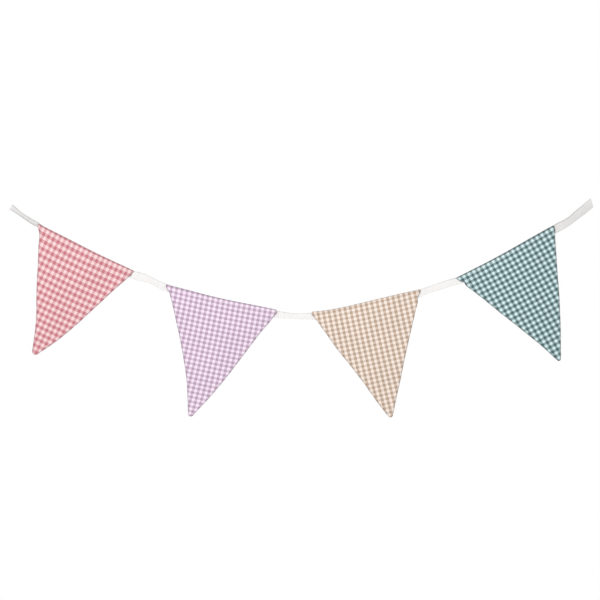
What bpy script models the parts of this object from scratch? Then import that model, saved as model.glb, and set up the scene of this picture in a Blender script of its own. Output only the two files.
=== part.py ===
"""Fabric bunting: four check pennants stitched along one cotton tape that hangs in a shallow curve.

The tape is one woven strip with two free cut ends. Each pennant is one sewn and turned cloth,
blunt at its two top corners and rounded at its tip, and the tape runs flat behind its top edge.
Origin: the middle of the tape's left cut end. +X runs along the bunting to the right,
+Y points away from the viewer and +Z is up. Sizes in the tables are millimetres and degrees.
"""

import math
from collections import namedtuple

import bmesh
import bpy
import numpy as np

MM = 0.001

# Cloth
PENNANT_THICKNESS = 1.6
TAPE_WIDTH = 14.0
TAPE_THICKNESS = 1.0
STITCHED_GAP = 0.38

# Pennant outline
CORNER_RADIUS = 2.5
EAR_DEPTH = 9.0
EAR_FADE = 4.0
SWAY_POWER = 1.2

# Pennant relief, towards the viewer
TOP_SHARE = 0.25
BOW_DEPTH = 80.0
RIPPLE_HEIGHT = 0.7
RIPPLE_LENGTH = 95.0

# Tape: how far each cut leans from square, how far a cup and a rise run in behind a pennant,
# as shares of its width, and the least cup, which keeps the arc of the section finite
LEFT_CUT = 4.0
RIGHT_CUT = 27.0
CUP_FADE = 0.11
RISE_FADE = 0.05
LEAST_CUP = 0.5

# Mesh, and the step that slopes are measured over
SLOPE_STEP = 0.1
ACROSS_PENNANT = 12
CORNER_ROWS = 3
BODY_ROWS = 14
TIP_ROWS = 4
TIP_LAST_ANGLE = 76.0
ALONG_TAPE = 130
ACROSS_TAPE = 6
STATIONS_PER_PENNANT = 11
SHARP_ANGLE = 50.0

# Each pennant hangs from two points, x y z, on the curve that its top edge follows.
# drop: top edge to tip. drift: sideways place of the tip. sway: sideways bow of the middle line.
# bulge: outward bow of both sides. ears: how far a top corner stands out over the tape.
# sag, sag_at: dip of the top edge, and where it is deepest from 0 (left) to 1 (right).
# across, down, curl: forward bow over the width, forward bow over the drop, forward curl of the tip.
# tape_left, tape_right: depth of the flat tape's middle under the top edge at either corner.
# rise_left, cup_left: how far the tape is drawn up at the left corner, and how far it curls there.
Pennant = namedtuple(
    "Pennant",
    "name left right drop tip_radius drift sway bulge ear_left ear_right sag sag_at "
    "across down curl ripple_turn tape_left tape_right rise_left cup_left colour",
)
PENNANTS = (
    Pennant(
        name="pennant_red", left=(49.6, 1.0, -30.1), right=(223.0, -1.5, -115.3),
        drop=214.5, tip_radius=5.5, drift=0.0, sway=5.2, bulge=0.2, ear_left=0.5, ear_right=0.5,
        sag=1.2, sag_at=0.6, across=4.0, down=4.5, curl=-3.0, ripple_turn=20.0,
        tape_left=7.3, tape_right=7.6, rise_left=2.2, cup_left=118.0, colour=(0.80, 0.46, 0.49),
    ),
    Pennant(
        name="pennant_lilac", left=(280.0, -2.5, -139.2), right=(480.6, -1.0, -185.1),
        drop=221.5, tip_radius=4.5, drift=-8.5, sway=6.0, bulge=-1.8, ear_left=3.2, ear_right=0.8,
        sag=2.3, sag_at=0.48, across=4.5, down=3.0, curl=2.5, ripple_turn=150.0,
        tape_left=7.4, tape_right=8.6, rise_left=0.0, cup_left=0.0, colour=(0.75, 0.60, 0.73),
    ),
    Pennant(
        name="pennant_beige", left=(541.2, 0.5, -188.1), right=(739.8, -2.0, -147.0),
        drop=215.0, tip_radius=5.5, drift=0.2, sway=-1.5, bulge=0.4, ear_left=1.2, ear_right=0.3,
        sag=3.2, sag_at=0.27, across=5.0, down=5.0, curl=-2.5, ripple_turn=75.0,
        tape_left=8.8, tape_right=7.6, rise_left=0.0, cup_left=0.0, colour=(0.74, 0.60, 0.51),
    ),
    Pennant(
        name="pennant_teal", left=(801.6, -3.0, -126.8), right=(978.6, 0.5, -31.2),
        drop=219.5, tip_radius=4.2, drift=-9.0, sway=2.5, bulge=0.3, ear_left=0.8, ear_right=0.3,
        sag=1.7, sag_at=0.4, across=6.0, down=7.0, curl=3.0, ripple_turn=230.0,
        tape_left=7.4, tape_right=7.7, rise_left=0.0, cup_left=0.0, colour=(0.32, 0.44, 0.46),
    ),
)

# Free tape between and beyond the pennants: the middle of its width, its roll about its length
# (positive brings the lower edge forward) and its cup (half the angle that its section bends).
Station = namedtuple("Station", "x y z roll cup")
LEFT_END = (
    Station(x=0.0, y=0.0, z=0.0, roll=14.0, cup=55.0),
    Station(x=18.9, y=1.5, z=-13.6, roll=22.0, cup=94.0),
    Station(x=35.4, y=2.5, z=-24.2, roll=8.0, cup=108.0),
)
GAPS = (
    (Station(x=251.1, y=-1.0, z=-131.6, roll=18.0, cup=12.0),),
    (Station(x=510.5, y=0.5, z=-197.6, roll=20.0, cup=10.0),),
    (Station(x=771.0, y=-1.5, z=-144.6, roll=18.0, cup=12.0),),
)
RIGHT_END = (
    Station(x=1001.0, y=1.0, z=-27.6, roll=-8.0, cup=0.0),
    Station(x=1023.0, y=-1.5, z=-11.5, roll=-20.0, cup=8.0),
    Station(x=1048.6, y=-5.0, z=10.2, roll=-14.0, cup=14.0),
)
TAPE_COLOUR = (0.88, 0.86, 0.84)


def smooth_step(x):
    """Ease from 0 to 1 with no slope at either end."""
    x = np.clip(x, 0.0, 1.0)
    return x * x * (3.0 - 2.0 * x)


def unit(vectors):
    """The same vectors at length 1."""
    return vectors / np.linalg.norm(vectors, axis=-1, keepdims=True)


def pennant_axes(pennant):
    """Middle of the top edge, unit vectors along it, down the cloth and to the viewer, half width."""
    left, right = np.array(pennant.left), np.array(pennant.right)
    half = np.linalg.norm(right - left) / 2.0
    along = (right - left) / (2.0 * half)
    down = unit(np.cross((0.0, 1.0, 0.0), along))
    return (left + right) / 2.0, along, down, np.cross(down, along), half


def taper(pennant, half):
    """Side angle of the straight edge that meets the round tip, and the depth where it does."""
    centre = pennant.drop - pennant.tip_radius
    angle = math.atan2(half, centre) - math.asin(pennant.tip_radius / math.hypot(half, centre))
    return angle, centre + pennant.tip_radius * math.sin(angle)


def row_depths(pennant, half):
    """Depths of the mesh rows: close over the corners and the ears, even below, an arc at the tip."""
    angle, tangent = taper(pennant, half)
    corner = CORNER_RADIUS * (1.0 - np.cos(np.linspace(0.0, math.pi / 2.0, CORNER_ROWS + 1)))
    ear = EAR_DEPTH + EAR_FADE * np.array((0.0, 0.5, 1.0))
    body = np.linspace(EAR_DEPTH + 2.0 * EAR_FADE, tangent, BODY_ROWS)
    arc = np.linspace(angle, math.radians(TIP_LAST_ANGLE), TIP_ROWS + 1)[1:]
    tip = pennant.drop - pennant.tip_radius * (1.0 - np.sin(arc))
    return np.concatenate((corner, ear, body, tip))


def pennant_edges(pennant, half, v):
    """Left and right edge at depth v: a straight taper into a tip arc, bowed, swayed and eared."""
    angle, tangent = taper(pennant, half)
    below = np.clip(v - (pennant.drop - pennant.tip_radius), 0.0, pennant.tip_radius)
    arc = np.sqrt(pennant.tip_radius ** 2 - below ** 2)
    width = np.where(v < tangent, half - v * math.tan(angle), arc)
    share = v / pennant.drop
    width = width + pennant.bulge * 4.0 * share * (1.0 - share)
    inset = CORNER_RADIUS - np.clip(v, 0.0, CORNER_RADIUS)
    width = width - (CORNER_RADIUS - np.sqrt(CORNER_RADIUS ** 2 - inset ** 2))
    ear = 1.0 - smooth_step((v - EAR_DEPTH) / EAR_FADE)
    middle = pennant.drift * share + pennant.sway * np.sin(math.pi * share ** SWAY_POWER)
    return middle - width - ear * pennant.ear_left, middle + width + ear * pennant.ear_right


def pennant_surface(pennant, u, v):
    """Middle surface of the cloth at u along the top edge and v down the cloth.

    The top edge dips by a squared sine that fades towards the tip. The relief towards the viewer
    is a cosine over the width, a sine over the drop, a cubic curl at the tip and a slanted ripple.
    """
    origin, along, down, forward, half = pennant_axes(pennant)
    share = v / pennant.drop
    place = np.clip((u + half) / (2.0 * half), 0.0, 1.0)
    power = math.log(0.5) / math.log(pennant.sag_at)
    dip = pennant.sag * np.sin(math.pi * place ** power) ** 2 * (1.0 - share) ** 2
    bow = TOP_SHARE + (1.0 - TOP_SHARE) * np.sin(math.pi / 2.0 * np.clip(v / BOW_DEPTH, 0.0, 1.0))
    turn = math.radians(pennant.ripple_turn)
    wave = (u * math.cos(turn) + v * math.sin(turn)) * 2.0 * math.pi / RIPPLE_LENGTH
    relief = (
        pennant.across * np.cos(math.pi / 2.0 * u / half) * bow
        + pennant.down * np.sin(math.pi * share)
        + pennant.curl * share ** 3
        + RIPPLE_HEIGHT * np.sin(wave) * np.sin(math.pi / 2.0 * np.clip(share, 0.0, 1.0))
    )
    return origin + along * u[..., None] + down * (v + dip)[..., None] + forward * relief[..., None]


def surface_frame(pennant, u, v):
    """Point on the middle surface, unit vector down the cloth and unit normal to the viewer."""
    point = pennant_surface(pennant, u, v)
    along = pennant_surface(pennant, u + SLOPE_STEP, v) - pennant_surface(pennant, u - SLOPE_STEP, v)
    down = pennant_surface(pennant, u, v + SLOPE_STEP) - pennant_surface(pennant, u, v - SLOPE_STEP)
    return point, unit(down), unit(np.cross(down, along))


def hermite(knots, values, at):
    """Cubic curve through values at the knots, its slopes taken from the neighbours, read at "at"."""
    slopes = np.gradient(values, knots, axis=0)
    i = np.clip(np.searchsorted(knots, at) - 1, 0, len(knots) - 2)
    span = knots[i + 1] - knots[i]
    t = ((at - knots[i]) / span)[..., None]
    span = span[..., None]
    return (
        (2 * t ** 3 - 3 * t ** 2 + 1) * values[i]
        + (t ** 3 - 2 * t ** 2 + t) * span * slopes[i]
        + (3 * t ** 2 - 2 * t ** 3) * values[i + 1]
        + (t ** 3 - t ** 2) * span * slopes[i + 1]
    )


def stations_behind(pennant):
    """Tape stations behind a pennant: middle points, vectors across the tape and cups.

    The tape lies flat but for the curl at the left corner. There its upper edge keeps its depth
    but for the rise, and its lower edge comes up as the section narrows.
    """
    half = pennant_axes(pennant)[4]
    share = (1.0 - np.cos(np.linspace(0.0, math.pi, STATIONS_PER_PENNANT))) / 2.0
    cup = pennant.cup_left * (1.0 - smooth_step(share / CUP_FADE))
    bend = np.radians(np.maximum(cup, LEAST_CUP))
    half_height = TAPE_WIDTH / (2.0 * bend) * np.sin(np.minimum(bend, math.pi / 2.0))
    rise = pennant.rise_left * (1.0 - smooth_step(share / RISE_FADE))
    u = half * (2.0 * share - 1.0)
    v = pennant.tape_left + (pennant.tape_right - pennant.tape_left) * share
    v = v - (TAPE_WIDTH / 2.0 - half_height) - rise
    point, down, normal = surface_frame(pennant, u, v)
    behind = PENNANT_THICKNESS / 2.0 + STITCHED_GAP + TAPE_THICKNESS / 2.0
    return point - normal * behind, down, cup


def free_stations(stations, slope):
    """Tape stations clear of the pennants. slope is the tape's own direction there."""
    points = np.array([(s.x, s.y, s.z) for s in stations])
    square = unit(np.cross((0.0, 1.0, 0.0), slope))
    forward = unit(np.cross(square, slope))
    roll = np.radians([s.roll for s in stations])[:, None]
    return points, np.cos(roll) * square + np.sin(roll) * forward, np.array([s.cup for s in stations])


def tape_stations():
    """All stations from the left cut end to the right one."""
    behind = [stations_behind(pennant) for pennant in PENNANTS]
    first, last = behind[0][0][0], behind[-1][0][-1]
    start, end = LEFT_END[0], RIGHT_END[-1]
    rows = [free_stations(LEFT_END, first - np.array((start.x, start.y, start.z)))]
    for i, pennant_rows in enumerate(behind):
        rows.append(pennant_rows)
        if i < len(GAPS):
            rows.append(free_stations(GAPS[i], behind[i + 1][0][0] - pennant_rows[0][-1]))
    rows.append(free_stations(RIGHT_END, np.array((end.x, end.y, end.z)) - last))
    return [np.concatenate(parts) for parts in zip(*rows)]


def tape_surface(t, q):
    """Middle surface of the tape at t along it, 0 to 1, and q across it, from -0.5 to 0.5.

    A smooth curve runs through the stations. At each place the section is an arc of the tape's
    width, bent by twice the cup, with its crown towards the viewer. The ends are cut at a slant.
    """
    points, across, cup = tape_stations()
    knots = np.concatenate(((0.0,), np.cumsum(np.linalg.norm(np.diff(points, axis=0), axis=1))))
    lean = (q + 0.5) * TAPE_WIDTH
    start = lean * math.tan(math.radians(LEFT_CUT))
    end = knots[-1] - lean * math.tan(math.radians(RIGHT_CUT))
    s = start + t * (end - start)
    middle = hermite(knots, points, s)
    along = unit(hermite(knots, points, s + SLOPE_STEP) - hermite(knots, points, s - SLOPE_STEP))
    side = hermite(knots, unit(across), s)
    side = unit(side - (side * along).sum(-1, keepdims=True) * along)
    front = np.cross(side, along)
    bend = np.radians(np.maximum(hermite(knots, cup[:, None], s), LEAST_CUP))
    turn = 2.0 * q[..., None] * bend
    radius = TAPE_WIDTH / (2.0 * bend)
    return middle + side * radius * np.sin(turn) - front * radius * (1.0 - np.cos(turn))


def material(name, colour, roughness):
    """Plain woven cotton of one colour."""
    mat = bpy.data.materials.new(name)
    mat.use_nodes = True
    shader = mat.node_tree.nodes["Principled BSDF"]
    shader.inputs["Base Color"].default_value = (*colour, 1.0)
    shader.inputs["Roughness"].default_value = roughness
    shader.inputs["Metallic"].default_value = 0.0
    mat.diffuse_color = (*colour, 1.0)
    return mat


def cloth_object(name, columns, rows, shape, thickness, mat, collection):
    """A grid whose points are placed by shape(column share, row share), made solid by Solidify."""
    bm = bmesh.new()
    bmesh.ops.create_grid(bm, x_segments=columns, y_segments=rows, size=0.5)
    grid = np.array([vert.co[:2] for vert in bm.verts]) + 0.5
    for vert, place in zip(bm.verts, shape(grid[:, 0], grid[:, 1]) * MM):
        vert.co = place
    mesh = bpy.data.meshes.new(name)
    bm.to_mesh(mesh)
    bm.free()
    mesh.materials.append(mat)
    mesh.shade_smooth()
    mesh.set_sharp_from_angle(angle=math.radians(SHARP_ANGLE))
    obj = bpy.data.objects.new(name, mesh)
    collection.objects.link(obj)
    wall = obj.modifiers.new("cloth thickness", "SOLIDIFY")
    wall.thickness = thickness * MM
    wall.offset = 0.0
    wall.use_even_offset = True
    return obj


def make_pennant(pennant, collection):
    """One turned cloth pennant."""
    half = pennant_axes(pennant)[4]
    depths = row_depths(pennant, half)
    rows = len(depths) - 1

    def shape(column, row):
        v = depths[np.rint(row * rows).astype(int)]
        left, right = pennant_edges(pennant, half, v)
        return pennant_surface(pennant, left + (right - left) * column, v)

    mat = material(pennant.name, pennant.colour, 0.9)
    cloth_object(pennant.name, ACROSS_PENNANT, rows, shape, PENNANT_THICKNESS, mat, collection)


def make_tape(collection):
    """The one woven tape that carries every pennant."""
    mat = material("tape", TAPE_COLOUR, 0.85)
    cloth_object(
        "tape", ALONG_TAPE, ACROSS_TAPE, lambda t, q: tape_surface(t, q - 0.5),
        TAPE_THICKNESS, mat, collection,
    )


def main():
    for obj in list(bpy.data.objects):
        bpy.data.objects.remove(obj, do_unlink=True)
    collection = bpy.data.collections.new("fabric bunting")
    bpy.context.scene.collection.children.link(collection)
    make_tape(collection)
    for pennant in PENNANTS:
        make_pennant(pennant, collection)


main()
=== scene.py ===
"""Fabric bunting: four sewn gingham pennants on one woven cotton tape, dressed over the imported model.

Frame: the origin is the middle of the tape's left cut end, +X runs to the right, +Y away from the
viewer and +Z up. The tables are in millimetres and degrees, and meshes are written in metres.
"""

import math
from collections import namedtuple

import bpy
import numpy as np
from bpy.props import FloatProperty, FloatVectorProperty, IntProperty, PointerProperty
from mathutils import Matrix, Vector


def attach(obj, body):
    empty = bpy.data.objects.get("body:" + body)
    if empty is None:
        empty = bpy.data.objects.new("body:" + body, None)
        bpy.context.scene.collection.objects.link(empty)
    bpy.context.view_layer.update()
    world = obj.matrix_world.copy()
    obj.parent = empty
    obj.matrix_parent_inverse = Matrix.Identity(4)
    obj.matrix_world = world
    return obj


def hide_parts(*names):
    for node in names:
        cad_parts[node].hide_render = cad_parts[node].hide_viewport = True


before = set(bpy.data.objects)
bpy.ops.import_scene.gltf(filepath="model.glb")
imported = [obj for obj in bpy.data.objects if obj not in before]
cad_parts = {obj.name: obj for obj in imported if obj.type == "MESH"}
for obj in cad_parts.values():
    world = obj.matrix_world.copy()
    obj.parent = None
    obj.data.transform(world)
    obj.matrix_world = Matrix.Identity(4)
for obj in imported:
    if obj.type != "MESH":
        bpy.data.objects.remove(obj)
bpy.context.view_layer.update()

bl_info = {
    "name": "Gingham bunting",
    "version": (1, 0, 0),
    "blender": (4, 5, 0),
    "location": "View3D > Sidebar > Bunting",
    "description": "Makes four gingham pennants, their cotton tape, the stitching and a plain stage",
    "category": "Add Mesh",
}

MM = 0.001

# Outline of every pennant, as in the model
CORNER_RADIUS = 2.5
EAR_DEPTH = 9.0
EAR_FADE = 4.0
SWAY_POWER = 1.2

# Relief of every pennant towards the viewer, as in the model
TOP_SHARE = 0.25
BOW_DEPTH = 80.0
RIPPLE_HEIGHT = 0.7
RIPPLE_LENGTH = 95.0
SHEET_THICKNESS = 1.6

# Tape, as in the model
TAPE_WIDTH = 14.0
STITCHED_GAP = 0.38
TAPE_THICKNESS = 1.0
LEFT_CUT = 4.0
RIGHT_CUT = 27.0
CUP_FADE = 0.11
RISE_FADE = 0.05
LEAST_CUP = 0.5
STATIONS_PER_PENNANT = 11
SLOPE_STEP = 0.1

# Row of stitches: how deep it draws the cloth in, its width, and the share of a pennant's width
# over which it begins and ends
STITCH_SEAT = 0.14
GROOVE_WIDTH = 1.1
GROOVE_FADE = 0.02

# Fine meshes: grid counts, and the share of the spacing that crowds towards the edges
PENNANT_COLUMNS = 140
PENNANT_ROWS = 150
TAPE_COLUMNS = 900
TAPE_ROWS = 22
CROWDING = 0.9
LAST_TIP_ANGLE = 88.0

# Cut ends of the tape: places of extra columns, length of the rounding, height of the uneven cut,
# and how far the left end reaches past the model's
CUT_STEPS = (0.06, 0.2, 0.45)
CUT_ROUND = 0.45
CUT_WAVE = 0.12
LEFT_REACH = 1.3

# Small waves: lengths of the puckers at a side and at the top, and height and length of the tape's
SIDE_PUCKER = 11.0
TOP_PUCKER = 8.0
TAPE_WAVE = 0.16
TAPE_WAVE_LENGTH = 17.0

# Painted shade: widths of the painted shade at a pennant's turned sides and top and of the painted
# shade lines along the tape, the painted shade where the tape curls up, that of its strands above
# and below, and the dark colour of the painted shade at the turned edges
SIDE_SHADE_WIDTH = 1.8
TOP_SHADE_WIDTH = 1.9
TAPE_SHADE_LINE_WIDTH = 1.2
CURLED_SHADE = 0.13
STRAND_SHADES = (0.13, 0.07)
FOLD_SHADE_COLOUR = (0.11, 0.10, 0.11)

# Weave: how sharply stripes and threads end, and how much the dye varies from thread to thread
STRIPE_EDGE = 5.0
THREAD_EDGE = 1.2
DYE_VARIATION = 0.35

# Each pennant hangs from two points, x y z, on the curve that its top edge follows.
# drop: top edge to tip. drift: sideways place of the tip. sway: sideways bow of the middle line.
# bulge: outward bow of both sides. ears: how far a top corner stands out over the tape.
# sag, sag_at: dip of the top edge, and where it is deepest from 0 (left) to 1 (right).
# across, down, curl: forward bow over the width, forward bow over the drop, forward curl of the tip.
# tape_left, tape_right: depth of the flat tape's middle under the top edge at either corner.
# rise_left, cup_left: how far the tape is drawn up at the left corner, and how far it curls there.
Pennant = namedtuple(
    "Pennant",
    "name left right drop tip_radius drift sway bulge ear_left ear_right sag sag_at "
    "across down curl ripple_turn tape_left tape_right rise_left cup_left",
)
PENNANTS = (
    Pennant(
        name="pennant_red", left=(49.6, 1.0, -30.1), right=(223.0, -1.5, -115.3),
        drop=214.5, tip_radius=5.5, drift=0.0, sway=5.2, bulge=0.2, ear_left=0.5, ear_right=0.5,
        sag=1.2, sag_at=0.6, across=4.0, down=4.5, curl=-3.0, ripple_turn=20.0,
        tape_left=7.3, tape_right=7.6, rise_left=2.2, cup_left=118.0,
    ),
    Pennant(
        name="pennant_lilac", left=(280.0, -2.5, -139.2), right=(480.6, -1.0, -185.1),
        drop=221.5, tip_radius=4.5, drift=-8.5, sway=6.0, bulge=-1.8, ear_left=3.2, ear_right=0.8,
        sag=2.3, sag_at=0.48, across=4.5, down=3.0, curl=2.5, ripple_turn=150.0,
        tape_left=7.4, tape_right=8.6, rise_left=0.0, cup_left=0.0,
    ),
    Pennant(
        name="pennant_beige", left=(541.2, 0.5, -188.1), right=(739.8, -2.0, -147.0),
        drop=215.0, tip_radius=5.5, drift=0.2, sway=-1.5, bulge=0.4, ear_left=1.2, ear_right=0.3,
        sag=3.2, sag_at=0.27, across=5.0, down=5.0, curl=-2.5, ripple_turn=75.0,
        tape_left=8.8, tape_right=7.6, rise_left=0.0, cup_left=0.0,
    ),
    Pennant(
        name="pennant_teal", left=(801.6, -3.0, -126.8), right=(978.6, 0.5, -31.2),
        drop=219.5, tip_radius=4.2, drift=-9.0, sway=2.5, bulge=0.3, ear_left=0.8, ear_right=0.3,
        sag=1.7, sag_at=0.4, across=6.0, down=7.0, curl=3.0, ripple_turn=230.0,
        tape_left=7.4, tape_right=7.7, rise_left=0.0, cup_left=0.0,
    ),
)

# The gingham of each pennant. A repeat is one dyed and one white stripe of equal width.
# mixed: how much of the dye shows where a dyed stripe crosses a white one, from 0 to 1.
# columns: how much of the cloth's face the threads of the columns take, from 0 to 1.
# pitch: width of a repeat along the top edge and down the cloth. start: place of the repeats.
# column_slant, column_bow: how far the columns lean and bow over the drop.
# column_crowd: how far they close up towards the corners. row_slant, row_sag: how far the rows tilt
# and sag over half the width. row_crowd: how far the rows close up half-way down.
# The last two: how much painted shade darkens the turned edges along the top and at the sides,
# from 0 to 1.
Check = namedtuple(
    "Check",
    "slot mixed columns pitch_along start_along column_slant column_bow column_crowd "
    "pitch_down start_down row_slant row_sag row_crowd top_fold side_fold",
)
CHECKS = {
    "pennant_red": Check(
        slot="rose_gingham", mixed=0.58, columns=0.45, pitch_along=9.63, start_along=-7.2,
        column_slant=-4.5, column_bow=-2.4, column_crowd=1.3, pitch_down=11.48, start_down=-2.2,
        row_slant=0.5, row_sag=3.4, row_crowd=13.9, top_fold=0.54, side_fold=0.46,
    ),
    "pennant_lilac": Check(
        slot="lilac_gingham", mixed=0.54, columns=0.52, pitch_along=9.61, start_along=-3.7,
        column_slant=0.2, column_bow=-10.8, column_crowd=0.5, pitch_down=8.35, start_down=-3.0,
        row_slant=1.6, row_sag=2.6, row_crowd=0.5, top_fold=0.46, side_fold=0.43,
    ),
    "pennant_beige": Check(
        slot="beige_gingham", mixed=0.53, columns=0.6, pitch_along=9.87, start_along=-7.4,
        column_slant=-4.5, column_bow=6.1, column_crowd=-0.8, pitch_down=8.25, start_down=-7.8,
        row_slant=1.9, row_sag=2.9, row_crowd=-2.6, top_fold=0.36, side_fold=0.42,
    ),
    "pennant_teal": Check(
        slot="teal_gingham", mixed=0.66, columns=0.5, pitch_along=9.96, start_along=-6.0,
        column_slant=-1.7, column_bow=1.1, column_crowd=-1.4, pitch_down=9.41, start_down=-2.4,
        row_slant=-0.5, row_sag=2.4, row_crowd=-7.5, top_fold=0.74, side_fold=0.62,
    ),
}

# Fine shape of the sides of each pennant: at a depth, how far the left and the right side lie
# further right than in the model.
TRIM_DEPTHS = (
    1.0, 5.0, 9.0, 13.0, 20.0, 34.0, 46.0, 66.0, 86.0, 106.0, 126.0, 146.0, 170.0, 190.0, 206.0,
)
SIDE_TRIMS = {
    "pennant_red": (
        (-1.3, -1.8, 0.2, 1.4, 1.8, 0.6, -0.1, -0.5, -1.8, -2.1, -1.5, 0.0, 0.3, -0.3, -0.8),
        (-1.7, -1.8, 0.0, -0.3, 0.3, -0.5, -1.0, -1.0, -0.8, -0.6, 0.4, 1.1, 1.7, 1.3, 0.0),
    ),
    "pennant_lilac": (
        (1.8, 1.0, 2.4, 2.1, 1.9, 2.2, 2.0, 1.6, 1.6, 1.2, 1.2, 1.3, 1.0, 0.0, -0.5),
        (-2.8, 0.9, 0.4, 1.2, 2.0, 0.7, -0.2, -0.5, -0.6, -0.4, 0.1, 0.5, 0.8, 0.9, 0.3),
    ),
    "pennant_beige": (
        (0.9, -1.6, -1.0, -2.4, -1.4, -1.7, -1.1, -1.3, -0.5, 1.0, 1.4, 1.7, 0.4, -0.2, 0.0),
        (-2.7, -2.4, -3.5, -4.5, -2.5, -2.6, -2.5, -2.5, -2.3, -2.1, -1.8, -1.1, -1.2, -1.2, -1.0),
    ),
    "pennant_teal": (
        (-0.3, -0.6, 0.3, 1.7, -0.4, -0.2, -0.2, -0.3, -0.8, -0.7, -0.1, 0.1, 1.0, 1.1, 0.5),
        (-1.8, -0.8, -0.1, -0.6, -0.8, -1.1, -1.2, -1.6, -1.5, -0.8, -0.7, -0.5, -0.1, -0.2, -0.1),
    ),
}

# Fine shape of the tape's edges: at an x, how far the upper edge lies further down and the lower
# edge further up than in the model. Behind the pennants it has none. Rows: x, upper, lower.
TAPE_TRIMS = (
    (0.0, 0.0, 1.7), (15.0, -0.5, 2.6), (24.0, -0.6, 1.7), (34.0, -0.2, 0.4),
    (43.0, 0.0, -1.2), (54.0, 0.0, 0.0), (60.0, 0.0, 0.0), (206.0, 0.0, 0.0),
    (212.0, 0.0, 0.0), (224.0, -1.5, 0.8), (240.0, -1.6, 0.8), (251.0, 0.2, 1.4),
    (261.0, 0.2, 2.0), (271.0, -1.7, 2.6), (281.0, -1.2, 2.6), (294.0, 0.0, 0.0),
    (300.0, 0.0, 0.0), (460.0, 0.0, 0.0), (466.0, 0.0, 0.0), (484.0, 0.0, 2.2),
    (538.0, 0.0, 2.2), (554.0, 0.0, 0.0), (560.0, 0.0, 0.0), (724.0, 0.0, 0.0),
    (730.0, 0.0, 0.0), (744.0, -1.1, 3.0), (772.0, -1.8, 2.8), (796.0, -1.8, 3.0),
    (814.0, 0.0, 0.0), (820.0, 0.0, 0.0), (970.0, 0.0, 0.0), (976.0, 0.0, 0.0),
    (986.0, -1.1, -0.3), (1001.0, -0.1, 0.0), (1010.0, -0.3, 0.0), (1018.0, -1.6, 0.1),
    (1030.0, -2.0, -0.8), (1048.0, -1.9, -0.4),
)

# Painted shade on the tape: at an x, how much painted shade darkens it all over, along its upper
# edge and along its lower one.
TAPE_SHADES = (
    (45.0, 0.05, 0.17, 0.02), (60.0, 0.0, 0.17, 0.02), (228.0, 0.02, 0.22, 0.06),
    (281.0, 0.02, 0.30, 0.03), (484.0, 0.0, 0.36, 0.0), (540.0, 0.0, 0.36, 0.0),
    (744.0, 0.01, 0.18, 0.02), (772.0, 0.01, 0.30, 0.02), (800.0, 0.02, 0.50, 0.02),
    (950.0, 0.02, 0.30, 0.02), (970.0, 0.13, 0.42, 0.12), (1002.0, 0.13, 0.36, 0.12),
    (1020.0, 0.075, 0.36, 0.12), (1034.0, 0.07, 0.22, 0.10), (1048.0, 0.07, 0.04, 0.04),
)

# Soft creases: a straight line from one place to another in shares of half width and drop, with
# its height towards the viewer and its width.
CREASES = {
    "pennant_red": (
        (-0.85, 0.04, -0.1, 0.55, 0.7, 11.0),
        (0.75, 0.05, 0.15, 0.6, -0.6, 13.0),
        (-0.1, 0.5, 0.02, 0.92, 0.5, 8.0),
    ),
    "pennant_lilac": (
        (-0.7, 0.05, -0.25, 0.5, -0.6, 12.0),
        (0.9, 0.03, 0.2, 0.4, 0.7, 12.0),
        (0.1, 0.35, -0.02, 0.85, 0.5, 9.0),
    ),
    "pennant_beige": (
        (-0.9, 0.03, -0.2, 0.45, 0.6, 12.0),
        (0.6, 0.05, 0.3, 0.5, -0.7, 14.0),
        (0.05, 0.5, 0.0, 0.9, -0.5, 8.0),
    ),
    "pennant_teal": (
        (-0.75, 0.06, -0.15, 0.45, 0.7, 13.0),
        (0.9, 0.04, 0.25, 0.5, -0.8, 13.0),
        (0.15, 0.3, 0.05, 0.8, 0.6, 10.0),
    ),
}

# Free tape between and beyond the pennants: the middle of its width, its roll about its length
# (positive brings the lower edge forward) and its cup (half the angle that its section bends).
Station = namedtuple("Station", "x y z roll cup")
LEFT_END = (
    Station(0.0, 0.0, 0.0, 14.0, 55.0),
    Station(18.9, 1.5, -13.6, 22.0, 94.0),
    Station(35.4, 2.5, -24.2, 8.0, 108.0),
)
GAPS = (
    (Station(251.1, -1.0, -131.6, 18.0, 12.0),),
    (Station(510.5, 0.5, -197.6, 20.0, 10.0),),
    (Station(771.0, -1.5, -144.6, 18.0, 12.0),),
)
RIGHT_END = (
    Station(1001.0, 1.0, -27.6, -8.0, 0.0),
    Station(1023.0, -1.5, -11.5, -20.0, 8.0),
    Station(1048.6, -5.0, 10.2, -14.0, 14.0),
)

# Floor: half the length of its side, the x of its middle, and the shares of the reach between
# which its colour fades out and it turns into a painted white glow
FLOOR_REACH = 2200.0
FLOOR_MIDDLE = 520.0
FLOOR_GLOW = (0.6, 0.98)

# Key light, in metres: its place from the middle of the picture, and the length of its side
KEY_PLACE = (-1.8, -3.7, 2.5)
KEY_SIZE = 1.8

# Photograph: its side in pixels, millimetres to a pixel, and the pixel of the tape's left end
PHOTO_SIDE = 600
PHOTO_SCALE = 1.8
PHOTO_ORIGIN = (10.5, 206.7)


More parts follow.
